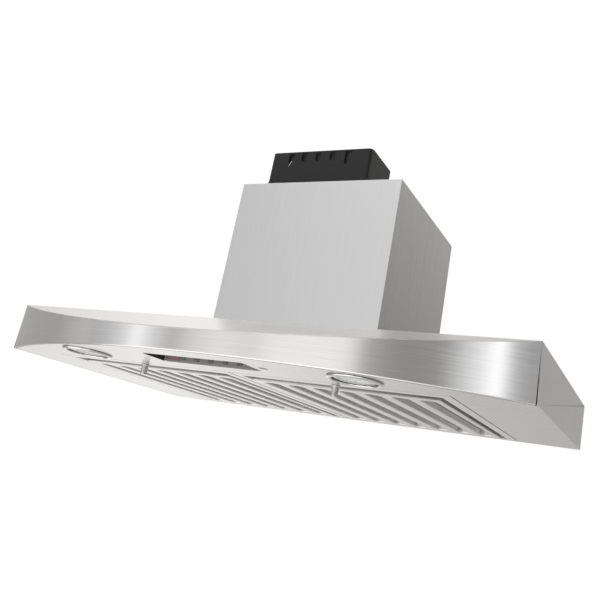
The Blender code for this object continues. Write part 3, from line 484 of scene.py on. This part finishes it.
def creaseSides(bm):
    # each side folds along the line from its low front corner to its high back corner, and its points
    # move in by the drop times their distance from that line over the furthest one's
    front, back = -bow["sides"], 0.0
    slope = (shellHigh.z - shellLow.z) / (back - front)
    across = Vector((0, -slope, 1)).normalized()
    bmesh.ops.bisect_plane(bm, geom=bm.verts[:] + bm.edges[:] + bm.faces[:], plane_co=(0, front, shellLow.z),
                           plane_no=across)
    furthest = (shellHigh.z - shellLow.z) * across.z
    for vert in bm.verts:
        if abs(vert.co.x) > shellHigh.x - 0.0020:
            off = abs((vert.co - Vector((0, front, shellLow.z))).dot(across)) / furthest
            vert.co.x -= math.copysign(shellLook["creaseDrop"] * off, vert.co.x)


def outerFold(edge):
    # a bend of the shell that shows from outside: along the roof's edges and the two back corners
    middle = (edge.verts[0].co + edge.verts[1].co) / 2
    outside = abs(middle.x) > shellHigh.x - 0.003 or middle.y > -0.0002
    faces = edge.link_faces
    turnedAway = all(f.normal.z > -0.5 and f.normal.y > -0.9 for f in faces)
    return outside and edge.calc_length() > 0.02 and turnedAway


buildFrontPanel()
softened("canopy_shell", sheetFinishes, shellLook["edge"], shellLook["edgeSteps"], change=creaseSides,
         picked=outerFold, angle=math.radians(16))
for node in [n for n in frame["nodes"] if n.startswith("underside_plate")]:
    softened(node, sheetFinishes, edges["thin"])
softened("hanging_plate", zincFinish, edges["thin"])
print("canopy done")

softened("chimney_cover", [chimneySides, chimneySteel, alongZ], edges["thick"], 3)
softened("chimney_back", [alongZ, alongZ, alongZ], edges["sheet"])
softened("chimney_bracket", zincFinish, edges["sheet"])
print("chimney done")

filterLook = {
    "ribEdge": 0.0022,  # radius of the folds round the slots
    "ribSteps": 5,
    "rim": 0.0055,  # crisp border
    "groove": (0.0205, 0.0500),  # the groove's start and end from the front edge
    "leg": (0.0170, 0.0295),  # and its leg's from the right edge
    "grooveLow": 0.0001,
    "grooveTop": 0.0102,
}


def buildFilter(side, p=filterLook):
    # the folds round each slot and the deep front groove are rounded, the outer border stays crisp, and the
    # groove's walls get painted shade
    low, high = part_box("filter_frame_" + side)

    def folded(edge):
        # an edge in the lowest face, inside the crisp border
        ends = [vert.co for vert in edge.verts]
        level = all(abs(end.z - low.z) < 0.0003 for end in ends)
        wide = all(low.x + p["rim"] < end.x < high.x - p["rim"] for end in ends)
        return level and wide and all(low.y + p["rim"] < end.y < high.y - p["rim"] for end in ends)

    def paintedShadeInGroove(face):
        # 1 on the groove's walls, which take the painted shade, 0 elsewhere
        middle = face.calc_center_median()
        front = p["groove"][0] < middle.y - low.y < p["groove"][1]
        leg = p["leg"][0] < high.x - middle.x < p["leg"][1]
        return int((front or leg) and p["grooveLow"] < middle.z - low.z < p["grooveTop"])

    softened("filter_frame_" + side, [ribSteel, grooveShadedSteel], p["ribEdge"], p["ribSteps"], picked=folded,
             sort=paintedShadeInGroove)
    softened("upper_baffles_" + side, baffleSteel, edges["sheet"])


for side in ("left", "right"):
    buildFilter(side)
    softened("filter_clip_" + side, springFinish, edges["thin"])
print("filters done")

lampLook = {
    "rim": 0.0312,  # inner radius of the ring
    "lens": 0.0287,
    "waves": 7,  # rings pressed into the lens
    "waveHeight": 0.00012,
    "sag": 0.0020,
    "chipGap": 0.0090,  # from the middle to each light chip
    "chipSize": 0.0042,
}


def buildLamp(side, p=lampLook):
    # turned profiles: ring, dark seal, lens and cup; the lens sags by step squared and carries a cosine
    # wave, and two light chips sit in the cup
    low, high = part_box("lamp_bezel_" + side)
    x, y, z = (low.x + high.x) / 2, (low.y + high.y) / 2, low.z
    outer = (high.x - low.x) / 2
    tube = outer - 0.0062
    ring = [(p["rim"], 0.0016), (p["rim"] + 0.0008, 0), (outer - 0.0026, 0), (outer - 0.0006, 0.0014),
            (outer, 0.0032), (tube, 0.0033), (tube, 0.0134), (p["rim"], 0.0134)]
    turnedPiece("lampRing." + side, roundCorners(ring, 0.0007, 4), (x, y, z), ringSteel, "hood",
                "lamp_bezel_" + side, steps=96, closed=True)
    inner, wall = p["lens"] + 0.0003, p["rim"] - 0.0002
    seal = [(inner, 0.0040), (wall - 0.0012, 0.0040), (wall - 0.0008, 0.0018), (wall, 0.0018), (wall, 0.0070),
            (inner, 0.0070)]
    turnedPiece("lampSeal." + side, roundCorners(seal, 0.0004, 2), (x, y, z), blackPlastic, "hood",
                steps=96, closed=True)
    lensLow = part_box("lamp_lens_" + side)[0].z
    step = np.linspace(0, 1, 60)
    wave = p["waveHeight"] * np.cos(step * 2 * math.pi * p["waves"])
    under = np.column_stack([p["lens"] * step, p["sag"] * step**2 + wave * (step < 0.95)])
    over = np.array([(p["lens"], 0.0034), (0.0, 0.0034)])
    turnedPiece("lampLens." + side, np.vstack([under, over]), (x, y, lensLow + 0.0002), lampGlass, "hood",
                "lamp_lens_" + side, steps=72)
    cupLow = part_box("lamp_reflector_" + side)[0].z
    cup = [(0.0296, 0), (0.0286, 0), (0.0264, 0.0062), (0.0222, 0.0108), (0.0168, 0.0150), (0.0106, 0.0178),
           (0, 0.0188), (0, 0.0200), (0.0110, 0.0190), (0.0178, 0.0162), (0.0232, 0.0116), (0.0276, 0.0066)]
    turnedPiece("lampCup." + side, roundCorners(cup, 0.0008, 3), (x, y, cupLow), chromeFinish, "hood",
                "lamp_reflector_" + side, steps=72, closed=True)
    half = p["chipSize"] / 2
    for way in (-1, 1):
        middle = x + way * p["chipGap"]
        loops = slabLoops((middle - half, middle + half), (y - half, y + half),
                          (cupLow + 0.0100, cupLow + 0.0150), 0.0008, 0.0003)
        finishMesh(meshOf(*loftGrid(loops)), "lightChip.%s.%d" % (side, way), ledFinish, "hood")


for side in ("left", "right"):
    buildLamp(side)
    softened("lamp_housing_" + side, blackPlastic, edges["thick"])

knobLook = {
    "waist": 0.0012,  # the body's step in from the collar
    "tip": 0.0008,
    "body": 0.0143,
    "collar": (0.0147, 0.0160),
    "screw": 0.0022,
}


def buildKnob(side, p=knobLook):
    # a plain turned pull: rounded end, straight body, thin collar against the filter, screw above
    low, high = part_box("filter_knob_" + side)
    x, y = (low.x + high.x) / 2, (low.y + high.y) / 2
    collar, length = (high.x - low.x) / 2, high.z - low.z
    body, tip, screw = collar - p["waist"], p["tip"], p["screw"]
    under, over = p["collar"]
    profile = [(0, 0), (body - tip, 0), (body, tip), (body, p["body"]), (collar, under), (collar, over),
               (screw, over), (screw, length), (0, length)]
    turnedPiece("pullKnob." + side, roundCorners(profile, 0.0005, 3, closed=False), (x, y, low.z), knobSteel,
                side + "_filter", "filter_knob_" + side, steps=48)


for side in ("left", "right"):
    buildKnob(side)
print("lamps and knobs done")

softened("control_tray", blackPlastic, edges["thin"])
softened("control_panel", greyPlastic, edges["thin"])
softened("control_board", boardFinish, edges["thin"])
softened("display_window", displayGlass, edges["thin"])
softened("sensor_window", sensorGlass, edges["thin"])
keyLook = {"corner": 0.0014, "edge": 0.0005}
for key in ("power", "light", "slower", "faster", "timer"):
    low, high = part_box("button_" + key)
    loops = slabLoops((low.x, high.x), (low.z, high.z), (low.y, high.y), keyLook["corner"],
                      keyLook["edge"], "Y")
    finishMesh(meshOf(*loftGrid(loops)), "key." + key, keyPlastic, key + "_key", "button_" + key)
print("controls done")

# the faces looking along X take the lighter plastic, painted light on the duct's ends
softened("outlet_duct", [ductEndsPaintedLight, ductPlastic, ductPlastic], edges["sheet"])
for node in ("scroll_band", "scroll_side_left", "scroll_side_right"):
    softened(node, blackPlastic, edges["sheet"])
for node in ("blower_plate", "motor_bracket", "damper_flap_front", "damper_flap_back", "junction_box",
             "junction_lid"):
    softened(node, zincFinish, edges["sheet"])
softened("impeller", fanPlastic, 0)
softened("fan_shaft", shaftFinish, edges["sheet"])
softened("motor", motorPaint, edges["cast"])
softened("motor_capacitor", whiteCan, edges["thick"])
softened("cable_gland", blackPlastic, edges["thick"])
for side in ("left", "right"):
    softened("roof_screw_" + side, chromeFinish, edges["sheet"])
print("blower and wiring done")

studio = {
    # the room's brightness by compass bearing from the front, in degrees: level and tint (0 warm, 1 cool)
    "bearings": [
        (-180, 0.50, 0.4), (-160, 0.66, 0.3), (-150, 0.95, 0.3), (-138, 1.18, 0.3), (-128, 0.98, 0.2),
        (-115, 0.44, 0.2), (-84, 0.44, 0.2), (-74, 0.60, 0.2), (-70, 0.62, 0.2), (-67.5, 0.54, 0.8),
        (-61, 0.69, 0.8), (-55, 0.96, 0.8), (-52.5, 1.50, 0.9), (-49.5, 1.08, 0.9), (-46, 0.80, 0.8),
        (-40.5, 0.50, 0.4), (-36.5, 0.80, 0.3), (-28, 1.02, 0.4), (-17.6, 0.88, 0.4), (-13, 1.10, 0.4),
        (5, 1.10, 0.4), (8, 1.0, 0.3), (10.5, 0.46, 0.2), (19, 0.30, 0.1), (30, 0.34, 0.3),
        (36, 0.84, 0.7), (41, 1.18, 0.9), (44.5, 2.0, 0.9), (46.7, 0.62, 0.9), (52, 0.42, 0.8),
        (158, 0.34, 0.2), (173, 0.56, 0.3),
    ],
    "warm": (1.0, 0.985, 0.955),
    "cool": (0.975, 0.975, 1.0),
    "strength": 1.0,
    "backdrop": 1.0,
    "overhead": 0.9,
    "floorDrop": 1.55,  # floor's height below the hood
    "floorRings": (0.02, 0.5, 1.0, 1.7, 2.4),
    "floorBack": -0.3,
}


def buildRoom(p=studio):
    # the bearing atan2(x, -y) picks a tone from the list, and the camera itself sees plain white
    world = bpy.data.worlds.new("studioRoom")
    bpy.context.scene.world = world
    world.use_nodes = True
    nodes = world.node_tree.nodes
    nodes.clear()
    way = put(world, "ShaderNodeTexCoord").outputs["Generated"]
    parts = put(world, "ShaderNodeSeparateXYZ", None, Vector=way)
    minusY = put(world, "ShaderNodeMath", {"operation": "MULTIPLY"}, i0=parts.outputs[1], i1=-1.0)
    bearing = put(world, "ShaderNodeMath", {"operation": "ARCTAN2"}, i0=parts.outputs[0],
                  i1=minusY.outputs[0])
    share = spread(world, bearing.outputs[0], 0, 1, -math.pi, math.pi)
    ramp = put(world, "ShaderNodeValToRGB", None, Fac=share)
    stops = ramp.color_ramp.elements
    while len(stops) > 1:
        stops.remove(stops[0])
    top = 2.0
    for i, (degrees, level, cool) in enumerate(p["bearings"]):
        stop = stops[0] if i == 0 else stops.new((degrees + 180) / 360)
        stop.position = (degrees + 180) / 360
        tint = [w + (c - w) * cool for w, c in zip(p["warm"], p["cool"])]
        stop.color = (*[level / top * c for c in tint], 1)
    high = spread(world, parts.outputs[2], 0, 1, 0.45, 0.9)  # the ceiling's even light takes over overhead
    ceiling = put(world, "ShaderNodeMix", {"data_type": "RGBA"}, Factor=high)
    link(world, ramp.outputs[0], ceiling.inputs[6])
    ceiling.inputs[7].default_value = (p["overhead"] / top,) * 3 + (1,)
    room = put(world, "ShaderNodeBackground", None, Color=ceiling.outputs[2], Strength=top * p["strength"])
    paper = put(world, "ShaderNodeBackground", None, Color=(1, 1, 1, 1), Strength=p["backdrop"])
    seen = put(world, "ShaderNodeLightPath").outputs["Is Camera Ray"]
    both = put(world, "ShaderNodeMixShader", None, i0=seen, i1=room.outputs[0], i2=paper.outputs[0])
    put(world, "ShaderNodeOutputWorld", None, Surface=both.outputs[0])


def buildFloor(p=studio):
    # a pale round floor far below the hood: rings of points (r cos a, r sin a)
    level = cadLow.z - p["floorDrop"]
    ring = np.linspace(0, 2 * math.pi, 96, endpoint=False)
    radii = np.array(p["floorRings"])[:, None]
    flat = np.full((len(radii), len(ring)), level)
    points = np.stack([radii * np.cos(ring), radii * np.sin(ring) + p["floorBack"], flat], -1)
    faces = gridFaces(len(radii), len(ring), False, True) + [list(range(len(ring)))]
    mesh = bpy.data.meshes.new("floor")
    mesh.from_pydata(points.reshape(-1, 3).tolist(), [], faces)
    floor = bpy.data.objects.new("floor", mesh)
    bpy.context.scene.collection.objects.link(floor)
    mesh.materials.append(speckled("floorPaint", (0.80, 0.80, 0.79), (0.84, 0.84, 0.83), 0.0, 0.7, 3.0))


softboxes = {
    "overheadSoft": {"place": (-0.4, -0.9, 1.9), "aim": (0, 0, 0), "size": (1.8, 1.4), "watts": 14},
    "floorBounce": {"place": (-0.3, -1.5, -0.92), "aim": (-0.1, -1.0, 0.5), "size": (3.0, 1.6), "watts": 12},
}


def buildLights(p=softboxes):
    # flat area lamps that look at their aim, one above and a wide low one that acts as a bounce board
    for name, box in p.items():
        lamp = bpy.data.lights.new(name, "AREA")
        lamp.shape, lamp.energy = "RECTANGLE", box["watts"]
        lamp.size, lamp.size_y = box["size"]
        obj = bpy.data.objects.new(name, lamp)
        obj.location = box["place"]
        obj.rotation_euler = (Vector(box["place"]) - Vector(box["aim"])).to_track_quat("Z", "Y").to_euler()
        obj.visible_camera = False
        bpy.context.scene.collection.objects.link(obj)


buildRoom()
buildFloor()
buildLights()
print("studio done")

viewpoint = {
    "place": (0.5954, -1.3024, -0.1656),
    "right": (0.9006, 0.4000, 0.1698),
    "down": (0.0413, 0.3103, -0.9498),
    "lens": 41.31,
    "shift": (-0.0813, -0.0121),
}


def buildCamera(p=viewpoint):
    # up is made square to right, and the camera looks against their cross product
    data = bpy.data.cameras.new("camera")
    data.lens, data.sensor_width = p["lens"], 36.0
    data.shift_x, data.shift_y = p["shift"]
    data.clip_start = 0.01
    camera = bpy.data.objects.new("camera", data)
    right, up = Vector(p["right"]).normalized(), -Vector(p["down"])
    up = (up - up.dot(right) * right).normalized()
    back = right.cross(up)
    turn = Matrix((right, up, back)).transposed()
    camera.matrix_world = Matrix.Translation(p["place"]) @ turn.to_4x4()
    bpy.context.scene.collection.objects.link(camera)
    bpy.context.scene.camera = camera


buildCamera()
bpy.context.scene.view_settings.view_transform = "Standard"
